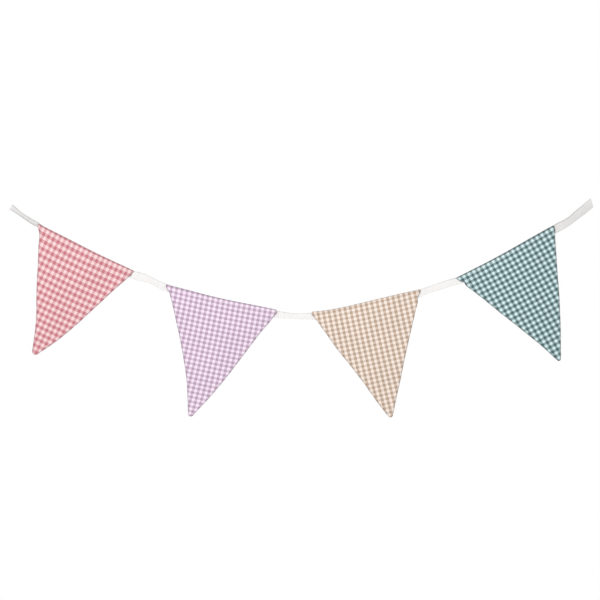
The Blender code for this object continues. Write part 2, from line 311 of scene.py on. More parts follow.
class PennantSettings(bpy.types.PropertyGroup):
    """Cloth and seams that all pennants share, and their four dyes."""

    thickness: FloatProperty(
        name="Cloth thickness", description="Both layers of a pennant away from its seams",
        default=0.0010, min=0.0004, max=0.0016, unit="LENGTH", precision=4,
    )
    seam_width: FloatProperty(
        name="Seam allowance", description="Width of the thicker border inside the turned edge",
        default=0.0065, min=0.002, max=0.015, unit="LENGTH", precision=4,
    )
    edge_radius: FloatProperty(
        name="Edge radius", description="Roundness of the turned edge",
        default=0.0009, min=0.0003, max=0.002, unit="LENGTH", precision=4,
    )
    pucker: FloatProperty(
        name="Pucker", description="Height of the small waves beside the seams",
        default=0.00022, min=0.0, max=0.001, unit="LENGTH", precision=5,
    )
    threads: IntProperty(
        name="Threads per repeat", description="Threads across one dyed and one white stripe",
        default=24, min=8, max=60,
    )
    thread_contrast: FloatProperty(
        name="Thread contrast", description="How plainly single threads show where dyes mix",
        default=0.5, min=0.0, max=1.0, subtype="FACTOR",
    )
    rose: FloatVectorProperty(
        name="Rose dye", description="Colour of the rose thread", subtype="COLOR",
        size=3, min=0.0, max=1.0, default=(0.557, 0.180, 0.213),
    )
    rose_pale: FloatVectorProperty(
        name="Rose cloth, pale thread", description="Undyed thread beside the rose",
        subtype="COLOR", size=3, min=0.0, max=1.0, default=(0.935, 0.692, 0.702),
    )
    lilac: FloatVectorProperty(
        name="Lilac dye", description="Colour of the lilac thread", subtype="COLOR",
        size=3, min=0.0, max=1.0, default=(0.465, 0.320, 0.447),
    )
    lilac_pale: FloatVectorProperty(
        name="Lilac cloth, pale thread", description="Undyed thread beside the lilac",
        subtype="COLOR", size=3, min=0.0, max=1.0, default=(0.945, 0.810, 0.936),
    )
    beige: FloatVectorProperty(
        name="Beige dye", description="Colour of the beige thread", subtype="COLOR",
        size=3, min=0.0, max=1.0, default=(0.470, 0.340, 0.250),
    )
    beige_pale: FloatVectorProperty(
        name="Beige cloth, pale thread", description="Undyed thread beside the beige",
        subtype="COLOR", size=3, min=0.0, max=1.0, default=(0.955, 0.835, 0.750),
    )
    teal: FloatVectorProperty(
        name="Teal dye", description="Colour of the teal thread", subtype="COLOR",
        size=3, min=0.0, max=1.0, default=(0.060, 0.125, 0.130),
    )
    teal_pale: FloatVectorProperty(
        name="Teal cloth, pale thread", description="Undyed thread beside the teal",
        subtype="COLOR", size=3, min=0.0, max=1.0, default=(0.700, 0.875, 0.900),
    )


class TapeSettings(bpy.types.PropertyGroup):
    """The woven cotton tape and the thread that sews it down."""

    colour: FloatVectorProperty(
        name="Tape colour", description="Colour of the cotton tape", subtype="COLOR",
        size=3, min=0.0, max=1.0, default=(0.94, 0.92, 0.91),
    )
    selvedge: FloatProperty(
        name="Selvedge", description="Width of the firm cord along each edge",
        default=0.0011, min=0.0004, max=0.003, unit="LENGTH", precision=4,
    )
    rib: FloatProperty(
        name="Rib spacing", description="Distance between the ribs of the weave",
        default=0.0009, min=0.0003, max=0.003, unit="LENGTH", precision=4,
    )
    stitch_length: FloatProperty(
        name="Stitch length", description="Visible length of one stitch",
        default=0.0024, min=0.001, max=0.006, unit="LENGTH", precision=4,
    )
    stitch_gap: FloatProperty(
        name="Stitch gap", description="Distance between two stitches",
        default=0.0006, min=0.0002, max=0.003, unit="LENGTH", precision=4,
    )
    thread_radius: FloatProperty(
        name="Thread radius", description="Half the thickness of the sewing thread",
        default=0.00017, min=0.00005, max=0.0006, unit="LENGTH", precision=5,
    )


class StageSettings(bpy.types.PropertyGroup):
    """Plain floor, soft light and the camera."""

    lens: FloatProperty(
        name="Lens", description="Focal length, long enough to show the cloth face on",
        default=200.0, min=50.0, max=400.0, unit="CAMERA",
    )
    floor_drop: FloatProperty(
        name="Floor depth", description="Distance of the floor under the origin",
        default=0.95, min=0.4, max=2.0, unit="LENGTH",
    )
    ambient: FloatProperty(
        name="Ambient light", description="Strength of the even light from all round",
        default=0.62, min=0.0, max=2.0,
    )
    key: FloatProperty(
        name="Key light", description="Power of the soft light from the upper left",
        default=112.0, min=0.0, max=200.0, unit="POWER",
    )


def smooth_step(x):
    """Ease from 0 to 1 with no slope at either end."""
    x = np.clip(x, 0.0, 1.0)
    return x * x * (3.0 - 2.0 * x)


def unit(vectors):
    """The same vectors at length 1."""
    return vectors / np.linalg.norm(vectors, axis=-1, keepdims=True)


def crowded(count):
    """Places from 0 to 1, crowded towards both ends by a cosine blended with an even spacing."""
    t = np.linspace(0.0, 1.0, count + 1)
    return CROWDING * (0.5 - 0.5 * np.cos(math.pi * t)) + (1.0 - CROWDING) * t


def pennant_axes(pennant):
    """Middle of the top edge, unit vectors along it, down the cloth and to the viewer, half width."""
    left, right = np.array(pennant.left), np.array(pennant.right)
    half = np.linalg.norm(right - left) / 2.0
    along = (right - left) / (2.0 * half)
    down = unit(np.cross((0.0, 1.0, 0.0), along))
    return (left + right) / 2.0, along, down, np.cross(down, along), half


def taper(pennant, half):
    """Side angle of the straight edge that meets the round tip, and the depth where it does."""
    centre = pennant.drop - pennant.tip_radius
    angle = math.atan2(half, centre) - math.asin(pennant.tip_radius / math.hypot(half, centre))
    return angle, centre + pennant.tip_radius * math.sin(angle)


def pennant_edges(pennant, half, v):
    """Left and right edge at depth v: a straight taper into a tip arc, bowed, swayed and eared."""
    angle, tangent = taper(pennant, half)
    below = np.clip(v - (pennant.drop - pennant.tip_radius), 0.0, pennant.tip_radius)
    arc = np.sqrt(pennant.tip_radius ** 2 - below ** 2)
    width = np.where(v < tangent, half - v * math.tan(angle), arc)
    share = v / pennant.drop
    width = width + pennant.bulge * 4.0 * share * (1.0 - share)
    inset = CORNER_RADIUS - np.clip(v, 0.0, CORNER_RADIUS)
    width = width - (CORNER_RADIUS - np.sqrt(CORNER_RADIUS ** 2 - inset ** 2))
    ear = 1.0 - smooth_step((v - EAR_DEPTH) / EAR_FADE)
    middle = pennant.drift * share + pennant.sway * np.sin(math.pi * share ** SWAY_POWER)
    return middle - width - ear * pennant.ear_left, middle + width + ear * pennant.ear_right


def cloth_edges(pennant, half, v):
    """Left and right edge of the cloth at depth v: the model's, with the fine shape of its sides."""
    left, right = pennant_edges(pennant, half, v)
    left_trim, right_trim = (np.array(trim)[:, None] for trim in SIDE_TRIMS[pennant.name])
    depths = np.array(TRIM_DEPTHS)
    held = np.clip(v, depths[0], depths[-1])
    left = left + hermite(depths, left_trim, held)[..., 0]
    return left, right + hermite(depths, right_trim, held)[..., 0]


def top_dip(pennant, half, u, v):
    """How far the cloth lies under the straight top line: a squared sine that fades to the tip."""
    place = np.clip((u + half) / (2.0 * half), 0.0, 1.0)
    power = math.log(0.5) / math.log(pennant.sag_at)
    return pennant.sag * np.sin(math.pi * place ** power) ** 2 * (1.0 - v / pennant.drop) ** 2


def pennant_surface(pennant, u, v):
    """Middle surface of the cloth at u along the top edge and v down the cloth, as in the model.

    The relief towards the viewer is a cosine over the width, a sine over the drop, a cubic curl at
    the tip and a slanted ripple.
    """
    origin, along, down, forward, half = pennant_axes(pennant)
    share = v / pennant.drop
    dip = top_dip(pennant, half, u, v)
    bow = TOP_SHARE + (1.0 - TOP_SHARE) * np.sin(math.pi / 2.0 * np.clip(v / BOW_DEPTH, 0.0, 1.0))
    turn = math.radians(pennant.ripple_turn)
    wave = (u * math.cos(turn) + v * math.sin(turn)) * 2.0 * math.pi / RIPPLE_LENGTH
    relief = (
        pennant.across * np.cos(math.pi / 2.0 * u / half) * bow
        + pennant.down * np.sin(math.pi * share)
        + pennant.curl * share ** 3
        + RIPPLE_HEIGHT * np.sin(wave) * np.sin(math.pi / 2.0 * np.clip(share, 0.0, 1.0))
    )
    return origin + along * u[..., None] + down * (v + dip)[..., None] + forward * relief[..., None]


def surface_frame(pennant, u, v):
    """Point on the middle surface, unit vector down the cloth and unit normal to the viewer."""
    point = pennant_surface(pennant, u, v)
    along = pennant_surface(pennant, u + SLOPE_STEP, v) - pennant_surface(pennant, u - SLOPE_STEP, v)
    down = pennant_surface(pennant, u, v + SLOPE_STEP) - pennant_surface(pennant, u, v - SLOPE_STEP)
    return point, unit(down), unit(np.cross(down, along))


def hermite(knots, values, at):
    """Cubic curve through values at the knots, its slopes taken from the neighbours, read at "at"."""
    slopes = np.gradient(values, knots, axis=0)
    i = np.clip(np.searchsorted(knots, at) - 1, 0, len(knots) - 2)
    span = knots[i + 1] - knots[i]
    t = ((at - knots[i]) / span)[..., None]
    span = span[..., None]
    return (
        (2 * t ** 3 - 3 * t ** 2 + 1) * values[i]
        + (t ** 3 - 2 * t ** 2 + t) * span * slopes[i]
        + (3 * t ** 2 - 2 * t ** 3) * values[i + 1]
        + (t ** 3 - t ** 2) * span * slopes[i + 1]
    )


def tape_depth(pennant, share, half_height):
    """Depth of the tape's middle under the top edge, at a share of the width from the left."""
    rise = pennant.rise_left * (1.0 - smooth_step(share / RISE_FADE))
    flat = pennant.tape_left + (pennant.tape_right - pennant.tape_left) * share
    return flat - (TAPE_WIDTH / 2.0 - half_height) - rise


def stations_behind(pennant):
    """Tape stations behind a pennant: middle points, vectors across the tape and cups."""
    half = pennant_axes(pennant)[4]
    share = (1.0 - np.cos(np.linspace(0.0, math.pi, STATIONS_PER_PENNANT))) / 2.0
    cup = pennant.cup_left * (1.0 - smooth_step(share / CUP_FADE))
    bend = np.radians(np.maximum(cup, LEAST_CUP))
    half_height = TAPE_WIDTH / (2.0 * bend) * np.sin(np.minimum(bend, math.pi / 2.0))
    u = half * (2.0 * share - 1.0)
    point, down, normal = surface_frame(pennant, u, tape_depth(pennant, share, half_height))
    behind = SHEET_THICKNESS / 2.0 + STITCHED_GAP + TAPE_THICKNESS / 2.0
    return point - normal * behind, down, cup


def free_stations(stations, slope):
    """Tape stations clear of the pennants. slope is the tape's own direction there."""
    points = np.array([(s.x, s.y, s.z) for s in stations])
    square = unit(np.cross((0.0, 1.0, 0.0), slope))
    forward = unit(np.cross(square, slope))
    roll = np.radians([s.roll for s in stations])[:, None]
    return points, np.cos(roll) * square + np.sin(roll) * forward, np.array([s.cup for s in stations])


def tape_stations():
    """All stations from the left cut end to the right one."""
    behind = [stations_behind(pennant) for pennant in PENNANTS]
    first, last = behind[0][0][0], behind[-1][0][-1]
    start, end = LEFT_END[0], RIGHT_END[-1]
    rows = [free_stations(LEFT_END, first - np.array((start.x, start.y, start.z)))]
    for i, pennant_rows in enumerate(behind):
        rows.append(pennant_rows)
        if i < len(GAPS):
            rows.append(free_stations(GAPS[i], behind[i + 1][0][0] - pennant_rows[0][-1]))
    rows.append(free_stations(RIGHT_END, np.array((end.x, end.y, end.z)) - last))
    return [np.concatenate(parts) for parts in zip(*rows)]


def closed_sheet(front, back):
    """Vertices and quads of two grids of points that share their outer ring of points.

    The front grid faces the viewer, with rows from the top down and columns from the left.
    """
    rows, columns = front.shape[:2]
    front_index = np.arange(rows * columns).reshape(rows, columns)
    back_index = front_index.copy()
    inner = (rows - 2) * (columns - 2)
    back_index[1:-1, 1:-1] = rows * columns + np.arange(inner).reshape(rows - 2, columns - 2)
    points = np.concatenate((front.reshape(-1, 3), back[1:-1, 1:-1].reshape(-1, 3)))

    def quads(index, order):
        corners = (index[:-1, :-1], index[1:, :-1], index[1:, 1:], index[:-1, 1:])
        return np.stack([corners[k].ravel() for k in order], axis=1)

    faces = np.concatenate((quads(front_index, (0, 1, 2, 3)), quads(back_index, (0, 3, 2, 1))))
    return points, faces


def ring_shared(values):
    """Values for the points of closed_sheet: the front's, and the same again for the back."""
    count = values.shape[-1]
    return np.concatenate((values.reshape(-1, count), values[1:-1, 1:-1].reshape(-1, count)))


def mesh_object(name, points, faces, material, uv=None, shade=None):
    """A smooth mesh object at the origin from points in millimetres and quads.

    uv holds two values for each point, kept as the UV map "weave". shade holds one value for each
    point, kept as the attribute "shade".
    """
    mesh = bpy.data.meshes.new(name)
    mesh.vertices.add(len(points))
    mesh.vertices.foreach_set("co", (points * MM).astype(np.float32).ravel())
    mesh.loops.add(faces.size)
    mesh.loops.foreach_set("vertex_index", faces.ravel().astype(np.int32))
    mesh.polygons.add(len(faces))
    mesh.polygons.foreach_set("loop_start", np.arange(0, faces.size, 4, dtype=np.int32))
    mesh.update(calc_edges=True)
    mesh.shade_smooth()
    if uv is not None:
        layer = mesh.uv_layers.new(name="weave")
        layer.data.foreach_set("uv", uv[faces.ravel()].astype(np.float32).ravel())
    if shade is not None:
        attribute = mesh.attributes.new("shade", "FLOAT", "POINT")
        attribute.data.foreach_set("value", shade.astype(np.float32).ravel())
    mesh.validate()
    mesh.materials.append(material)
    obj = bpy.data.objects.new(name, mesh)
    bpy.context.scene.collection.objects.link(obj)
    return obj


def edge_distance(pennant, half, u, v, last):
    """Distance in the cloth from the nearest of the top, the two sides and the tip.

    A side's distance is the horizontal one times the cosine of the side's lean at that depth.
    """
    left, right = cloth_edges(pennant, half, v)
    lean_left = np.gradient(left[:, 0], v[:, 0])[:, None]
    lean_right = np.gradient(right[:, 0], v[:, 0])[:, None]
    from_left = (u - left) / np.sqrt(1.0 + lean_left ** 2)
    from_right = (right - u) / np.sqrt(1.0 + lean_right ** 2)
    return np.minimum(np.minimum(from_left, from_right), np.minimum(v, last - v))


def uneven_wave(s, length, seed):
    """A wave of about the given length whose phase drifts, between -1 and 1."""
    t = 2.0 * math.pi * s / length
    return np.sin(t + 1.3 * np.sin(0.37 * t + seed) + 0.8 * np.sin(0.171 * t + 2.3 * seed))


def seam_relief(pennant, u, v, distance, seam, pucker):
    """Small waves square to the seams, strongest inside the seam allowance, and calm in the cloth."""
    near = np.exp(-((distance - 0.75 * seam) / (0.8 * seam)) ** 2)
    at_top = 1.0 - smooth_step((v - 1.5 * seam) / seam)
    seed = pennant.drop
    sides = uneven_wave(v, SIDE_PUCKER, seed + np.sign(u))
    top = uneven_wave(u, TOP_PUCKER, seed)
    return pucker * near * (sides * (1.0 - at_top) + 0.8 * top * at_top)


def crease_relief(pennant, half, u, v):
    """Soft ridges and troughs: a squared exponential across each line, eased to nothing at its ends."""
    relief = np.zeros_like(u)
    for u0, v0, u1, v1, height, width in CREASES[pennant.name]:
        start = np.array((u0 * half, v0 * pennant.drop))
        run = np.array((u1 * half, v1 * pennant.drop)) - start
        length = np.linalg.norm(run)
        run = run / length
        t = ((u - start[0]) * run[0] + (v - start[1]) * run[1]) / length
        away = (u - start[0]) * run[1] - (v - start[1]) * run[0]
        ends = smooth_step(t / 0.25 + 0.3) * smooth_step((1.15 - t) / 0.35)
        spread = width * (0.7 + 0.5 * np.clip(t, 0.0, 1.0))
        relief += height * np.exp(-((away / spread) ** 2)) * ends
    return relief


def check_places(check, pennant, half, u, v):
    """Place of each point in the gingham, counted in repeats along the cloth and down it.

    A dyed stripe's middle lies at each whole number. Rows and columns lean, bow and crowd a little
    as the hung cloth draws them, by the terms that the table names.
    """
    across = u / half
    share = v / pennant.drop
    belly = share * (1.0 - share)
    depth = v + top_dip(pennant, half, u, v)
    along = (
        check.start_along + u + check.column_slant * share
        + check.column_bow * belly + check.column_crowd * across ** 2
    )
    down = (
        check.start_down + depth + check.row_slant * across
        + check.row_sag * across ** 2 - check.row_crowd * belly
    )
    return np.stack((along / check.pitch_along, down / check.pitch_down), axis=-1)


def fold_shade(check, distance, v):
    """How much painted shade darkens a turned edge: a squared exponential of the distance from the top or a
    side.
    """
    # Painted shade: the colour darkens towards the turned top and side edges.
    side = check.side_fold * np.exp(-((distance / SIDE_SHADE_WIDTH) ** 2))
    return np.maximum(check.top_fold * np.exp(-((v / TOP_SHADE_WIDTH) ** 2)), side)


def stitch_groove(pennant, half, u, v):
    """How deep the row of stitches draws the cloth in: a squared exponential across the row."""
    share = np.clip((u + half) / (2.0 * half), 0.0, 1.0)
    row = tape_depth(pennant, share, TAPE_WIDTH / 2.0)
    sewn = smooth_step((share - CUP_FADE) / GROOVE_FADE) * smooth_step((1.0 - share) / GROOVE_FADE)
    return STITCH_SEAT * sewn * np.exp(-(((v - row) / GROOVE_WIDTH) ** 2))


def pennant_grid(pennant):
    """Grid of u and v over one pennant, crowded at its edges, with the last depth at its tip."""
    half = pennant_axes(pennant)[4]
    last = pennant.drop - pennant.tip_radius * (1.0 - math.sin(math.radians(LAST_TIP_ANGLE)))
    v = (crowded(PENNANT_ROWS) * last)[:, None]
    left, right = cloth_edges(pennant, half, v)
    u = left + (right - left) * crowded(PENNANT_COLUMNS)[None, :]
    return half, last, u, np.broadcast_to(v, u.shape)


def pennant_mesh(pennant, settings):
    """Points, quads, gingham places and edge shade of one sewn and turned pennant.

    Each side lies half a thickness from the middle surface. The half thickness is a quarter ellipse
    over the edge radius, full over the seam allowance and the tape, and thinner in the open cloth.
    """
    half, last, u, v = pennant_grid(pennant)
    distance = np.maximum(edge_distance(pennant, half, u, v, last), 0.0)
    distance[0], distance[-1], distance[:, 0], distance[:, -1] = 0.0, 0.0, 0.0, 0.0
    seam = settings.seam_width / MM
    open_half = settings.thickness / MM / 2.0
    rim = np.sqrt(1.0 - (1.0 - np.minimum(distance * MM / settings.edge_radius, 1.0)) ** 2)
    thin = smooth_step((distance - seam) / 2.5) * smooth_step((v - TAPE_WIDTH - 1.5) / 2.5)
    half_thickness = rim * (SHEET_THICKNESS / 2.0 + (open_half - SHEET_THICKNESS / 2.0) * thin)
    point, _, normal = surface_frame(pennant, u, v)
    waves = seam_relief(pennant, u, v, distance, seam, settings.pucker / MM)
    waves = (waves + crease_relief(pennant, half, u, v) * thin) * rim
    groove = stitch_groove(pennant, half, u, v) * rim
    front = point + normal * (half_thickness + waves - groove)[..., None]
    back = point - normal * (half_thickness - waves * thin)[..., None]
    points, faces = closed_sheet(front, back)
    check = CHECKS[pennant.name]
    uv = ring_shared(check_places(check, pennant, half, u, v))
    shade = ring_shared(fold_shade(check, distance, v)[..., None])
    return points, faces, uv, shade


def tape_curve():
    """Knots, middle points, vectors across and cups of the tape's curve."""
    points, across, cup = tape_stations()
    steps = np.linalg.norm(np.diff(points, axis=0), axis=1)
    return np.concatenate(((0.0,), np.cumsum(steps))), points, across, cup


def tape_trim(middle, q):
    """How far a point of the tape lies further down: the two edges' trims, blended across."""
    rows = np.array(TAPE_TRIMS)
    x = rows[:, 0]
    trims = hermite(x, rows[:, 1:], np.clip(middle[..., 0], x[0], x[-1]))
    return trims[..., 0] * (0.5 - q) - trims[..., 1] * (0.5 + q)


def tape_frame(curve, s, q):
    """Point of the tape's middle surface at s along it and q across it, and its normal.

    The section is an arc of the tape's width bent by twice the cup, crown towards the viewer.
    """
    knots, points, across, cup = curve
    middle = hermite(knots, points, s)
    along = unit(hermite(knots, points, s + SLOPE_STEP) - hermite(knots, points, s - SLOPE_STEP))
    side = hermite(knots, unit(across), s)
    side = unit(side - (side * along).sum(-1, keepdims=True) * along)
    front = np.cross(side, along)
    bend = np.radians(np.maximum(hermite(knots, cup[:, None], s), LEAST_CUP))
    turn = 2.0 * q[..., None] * bend
    radius = TAPE_WIDTH / (2.0 * bend)
    point = middle + side * radius * np.sin(turn) - front * radius * (1.0 - np.cos(turn))
    return point + side * tape_trim(middle, q)[..., None], side * np.sin(turn) + front * np.cos(turn)


def cut_line(q, slant, seed):
    """How far a cut end lies inside the tape's full length: a slant and a slightly uneven cut."""
    lean = (q + 0.5) * TAPE_WIDTH * math.tan(math.radians(slant))
    return lean + CUT_WAVE * uneven_wave(q * TAPE_WIDTH, 2.3, seed) * (1.0 - (2.0 * q) ** 2)


def tape_shade(curve, s, q):
    """How much painted shade darkens the tape: the table's painted shade, and where it curls up an even
    painted shade with a darker painted strand on either side of the middle.
    """
    knots, points, _, cup = curve
    middle = hermite(knots, points, s)[..., 0]
    # Painted shade read from the table: all over, along the upper edge and along the lower one.
    x, shade_all_over, upper, lower = np.array(TAPE_SHADES).T
    line = np.where(q < 0.0, np.interp(middle, x, upper), np.interp(middle, x, lower))
    line = line * np.exp(-(((0.5 - np.abs(q)) * TAPE_WIDTH / TAPE_SHADE_LINE_WIDTH) ** 2))
    # Painted shade where the tape curls up, darker in a strand on either side of the middle.
    curled = np.clip(hermite(knots, cup[:, None], s)[..., 0] / 100.0, 0.0, 1.0)
    turn = np.abs(2.0 * q) * np.radians(100.0 * curled)
    strand = smooth_step((np.sin(np.minimum(turn, math.pi / 2.0)) - 0.2) / 0.35)
    strand = strand * np.where(q < 0.0, *STRAND_SHADES)
    return line * (1.0 - curled) + curled * (CURLED_SHADE + strand) + np.interp(middle, x, shade_all_over)


def tape_mesh(settings):
    """Points, quads, weave places and edge shade of the tape.

    The half thickness across is a round selvedge cord at each edge, a shallow groove beside it and
    the flat weave between. At the cut ends it closes as a quarter ellipse, a thread's width long.
    """
    curve = tape_curve()
    length = curve[0][-1]
    q = (crowded(TAPE_ROWS) - 0.5)[:, None]
    near = np.array(CUT_STEPS) / length
    t = np.sort(np.concatenate((np.linspace(0.0, 1.0, TAPE_COLUMNS + 1), near, 1.0 - near)))[None, :]
    start = cut_line(q, LEFT_CUT, 1.0) - LEFT_REACH
    end = length - cut_line(q, RIGHT_CUT, 4.0)
    s = start + t * (end - start)
    q = np.broadcast_to(q, s.shape)
    edge = (0.5 - np.abs(q)) * TAPE_WIDTH
    cord = settings.selvedge / MM
    cut = np.minimum(s - start, end - s)
    rim = np.sqrt(1.0 - (1.0 - np.minimum(edge / (0.4 * cord), 1.0)) ** 2)
    rim = rim * np.sqrt(1.0 - (1.0 - np.clip(cut / CUT_ROUND, 0.0, 1.0)) ** 2)
    rim[0], rim[-1], rim[:, 0], rim[:, -1] = 0.0, 0.0, 0.0, 0.0
    groove = np.exp(-((edge - 1.5 * cord) / (0.5 * cord)) ** 2)
    inside = smooth_step((edge - cord) / cord)
    half_thickness = rim * TAPE_THICKNESS / 2.0 * (1.0 - 0.22 * inside - 0.16 * groove)
    point, normal = tape_frame(curve, s, q)
    drift = TAPE_WAVE * uneven_wave(s, TAPE_WAVE_LENGTH, 2.0) * (1.0 - (2.0 * np.abs(q)) ** 2) * rim
    front = point + normal * (half_thickness + drift)[..., None]
    back = point - normal * (half_thickness - drift)[..., None]
    points, faces = closed_sheet(front, back)
    uv = ring_shared(np.stack((s, q * TAPE_WIDTH), axis=-1))
    shade = ring_shared(tape_shade(curve, s, q)[..., None])
    return points, faces, uv, shade


def capsule_profile():
    """Shares of a stitch's length and radius for its rings, from one tucked end to the other."""
    turn = np.linspace(0.0, math.pi, 7)
    return 0.5 - 0.5 * np.cos(turn), np.sin(turn) ** 0.5


def stitch_points(middle, along, normal, length, radius):
    """Rings of each stitch: a thread that arches over the cloth and tucks in at both ends.

    middle, along and normal hold one row for each stitch. A ring has six points about the thread.
    """
    place, swell = capsule_profile()
    offset = (place - 0.5) * length
    lift = radius * (1.6 * np.sin(math.pi * place) - 0.9)
    around = np.linspace(0.0, 2.0 * math.pi, 6, endpoint=False)
    side = np.cross(along, normal)
    centre = (
        middle[:, None] + along[:, None] * offset[None, :, None]
        + normal[:, None] * lift[None, :, None]
    )
    ring = side[:, None] * np.cos(around)[None, :, None] + normal[:, None] * np.sin(around)[None, :, None]
    thick = radius * np.maximum(swell, 0.05)
    return centre[:, :, None] + ring[:, None] * thick[None, :, None, None]


def stitch_faces(count, rings, sides):
    """Quads of count closed tubes, each of so many rings and sides. A flat quad pair caps each end."""
    ring = np.arange(rings - 1)[:, None]
    side = np.arange(sides)[None, :]
    following = (side + 1) % sides
    a, b = ring * sides + side, ring * sides + following
    tube = np.stack((a, b, b + sides, a + sides), axis=-1).reshape(-1, 4)
    cap = np.array(((0, 3, 2, 1), (0, 5, 4, 3)))
    last = (rings - 1) * sides
    caps = np.concatenate((cap, cap[:, ::-1] + last))
    one = np.concatenate((tube, caps))
    return (one[None] + (np.arange(count) * rings * sides)[:, None, None]).reshape(-1, 4)


def stitch_rows(pennant, settings):
    """Stitches along the middle of the tape: on the pennant's front and on the tape's back."""
    half = pennant_axes(pennant)[4]
    pitch = (settings.stitch_length + settings.stitch_gap) / MM
    inset = CORNER_RADIUS + 2.0
    count = int((2.0 * half - 2.0 * inset) / pitch)
    u = (np.arange(count) - (count - 1) / 2.0) * pitch
    share = (u + half) / (2.0 * half)
    keep = share > CUP_FADE
    u, share = u[keep], share[keep]
    v = tape_depth(pennant, share, TAPE_WIDTH / 2.0)
    point, down, normal = surface_frame(pennant, u, v)
    along = unit(np.cross(normal, down))
    front = point + normal * (SHEET_THICKNESS / 2.0 - STITCH_SEAT)
    back = point - normal * (SHEET_THICKNESS / 2.0 + STITCHED_GAP + TAPE_THICKNESS * 0.9)
    length = settings.stitch_length / MM
    radius = settings.thread_radius / MM
    return np.concatenate((
        stitch_points(front, along, normal, length, radius),
        stitch_points(back, along, -normal, length, radius),
    ))


class NodeBook:
    """Adds nodes to a material and links them, one call for each step of a formula."""

    def __init__(self, name):
        self.material = bpy.data.materials.new(name)
        self.material.use_nodes = True
        self.tree = self.material.node_tree
        self.shader = self.tree.nodes["Principled BSDF"]

    def put(self, socket, value):
        if isinstance(value, bpy.types.NodeSocket):
            self.tree.links.new(value, socket)
        else:
            socket.default_value = value

    def math(self, operation, *values, clamp=False):
        node = self.tree.nodes.new("ShaderNodeMath")
        node.operation = operation
        node.use_clamp = clamp
        for socket, value in zip(node.inputs, values):
            self.put(socket, value)
        return node.outputs[0]

    def mix(self, factor, first, second, blend="MIX"):
        node = self.tree.nodes.new("ShaderNodeMix")
        node.data_type = "RGBA"
        node.blend_type = blend
        self.put(node.inputs["Factor"], factor)
        self.put(node.inputs[6], first)
        self.put(node.inputs[7], second)
        return node.outputs[2]

    def dim(self, colour, light):
        """The colour times a grey of the given lightness."""
        grey = self.tree.nodes.new("ShaderNodeCombineColor")
        for socket in grey.inputs[:3]:
            self.put(socket, light)
        return self.mix(1.0, colour, grey.outputs[0], "MULTIPLY")

    def weave_places(self):
        places = self.tree.nodes.new("ShaderNodeUVMap")
        places.uv_map = "weave"
        parts = self.tree.nodes.new("ShaderNodeSeparateXYZ")
        self.tree.links.new(places.outputs[0], parts.inputs[0])
        return parts.outputs[0], parts.outputs[1]

    def shade_value(self):
        node = self.tree.nodes.new("ShaderNodeAttribute")
        node.attribute_name = "shade"
        return node.outputs["Fac"]

    def noise_at(self, where, scale, detail):
        node = self.tree.nodes.new("ShaderNodeTexNoise")
        self.tree.links.new(where, node.inputs["Vector"])
        node.inputs["Scale"].default_value = scale
        node.inputs["Detail"].default_value = detail
        return node.outputs["Fac"]

    def noise(self, x, y):
        where = self.tree.nodes.new("ShaderNodeCombineXYZ")
        self.put(where.inputs[0], x)
        self.put(where.inputs[1], y)
        return self.noise_at(where.outputs[0], 1.0, 2.0)

    def object_noise(self, scale, detail=2.0):
        where = self.tree.nodes.new("ShaderNodeTexCoord")
        return self.noise_at(where.outputs["Object"], scale, detail)

    def bump(self, height, strength, distance):
        node = self.tree.nodes.new("ShaderNodeBump")
        node.inputs["Strength"].default_value = strength
        node.inputs["Distance"].default_value = distance
        self.put(node.inputs["Height"], height)
        self.tree.links.new(node.outputs[0], self.shader.inputs["Normal"])

    def cotton(self, roughness):
        """Matt cotton with a faint fuzz of loose fibre."""
        self.shader.inputs["Roughness"].default_value = roughness
        self.shader.inputs["Specular IOR Level"].default_value = 0.25
        self.shader.inputs["Sheen Weight"].default_value = 0.12
        self.shader.inputs["Sheen Roughness"].default_value = 0.5


def gingham_material(name, dye, pale, check, settings):
    """Plain-woven gingham: dyed and white stripes in warp and weft, with every thread raised.

    A stripe is dyed where the cosine of its place is positive. The thread on top alternates with
    the sign of the product of two sines, and its height is that product's size. A power raises
    the dye's share in the mixed squares from a half to what the cloth shows.
    """
    book = NodeBook(name)
    x, y = book.weave_places()
    stripes = []
    for place in (x, y):
        wave = book.math("COSINE", book.math("MULTIPLY", place, 2.0 * math.pi))
        stripes.append(book.math("MULTIPLY_ADD", wave, STRIPE_EDGE, 0.5, clamp=True))
    threads = math.pi * settings.threads
    weave = book.math(
        "MULTIPLY",
        book.math("SINE", book.math("MULTIPLY", x, threads)),
        book.math("SINE", book.math("MULTIPLY", y, threads)),
    )
    on_top = book.math("MULTIPLY_ADD", weave, THREAD_EDGE, 0.5, clamp=True)
    share = book.math(
        "MULTIPLY_ADD", book.math("SUBTRACT", on_top, 0.5), settings.thread_contrast, check.columns
    )
    dyed = book.math(
        "ADD",
        book.math("MULTIPLY", stripes[0], share),
        book.math("MULTIPLY", stripes[1], book.math("SUBTRACT", 1.0, share)),
    )
    fine = book.math("MULTIPLY", x, float(settings.threads))
    slub = book.noise(fine, book.math("MULTIPLY", y, 3.0))
    slub_down = book.noise(book.math("MULTIPLY", x, 3.0), book.math("MULTIPLY", y, float(settings.threads)))
    uneven = book.math("SUBTRACT", book.math("ADD", slub, slub_down), 1.0)
    amount = book.math("MULTIPLY_ADD", uneven, DYE_VARIATION, dyed, clamp=True)
    amount = book.math("POWER", amount, math.log(check.mixed) / math.log(0.5))
    colour = book.mix(amount, (*pale, 1.0), (*dye, 1.0))
    cloud = book.object_noise(28.0)
    light = book.math("MULTIPLY_ADD", cloud, 0.10, 0.95)
    # Painted shade: the colour mixes towards a dark grey by the shade attribute along the turned edges.
    colour = book.mix(book.shade_value(), book.dim(colour, light), (*FOLD_SHADE_COLOUR, 1.0))
    book.put(book.shader.inputs["Base Color"], colour)
    height = book.math("ADD", book.math("ABSOLUTE", weave), book.math("MULTIPLY", uneven, 0.8))
    book.bump(height, 0.45, 0.00008)
    book.cotton(0.9)
    return book.material


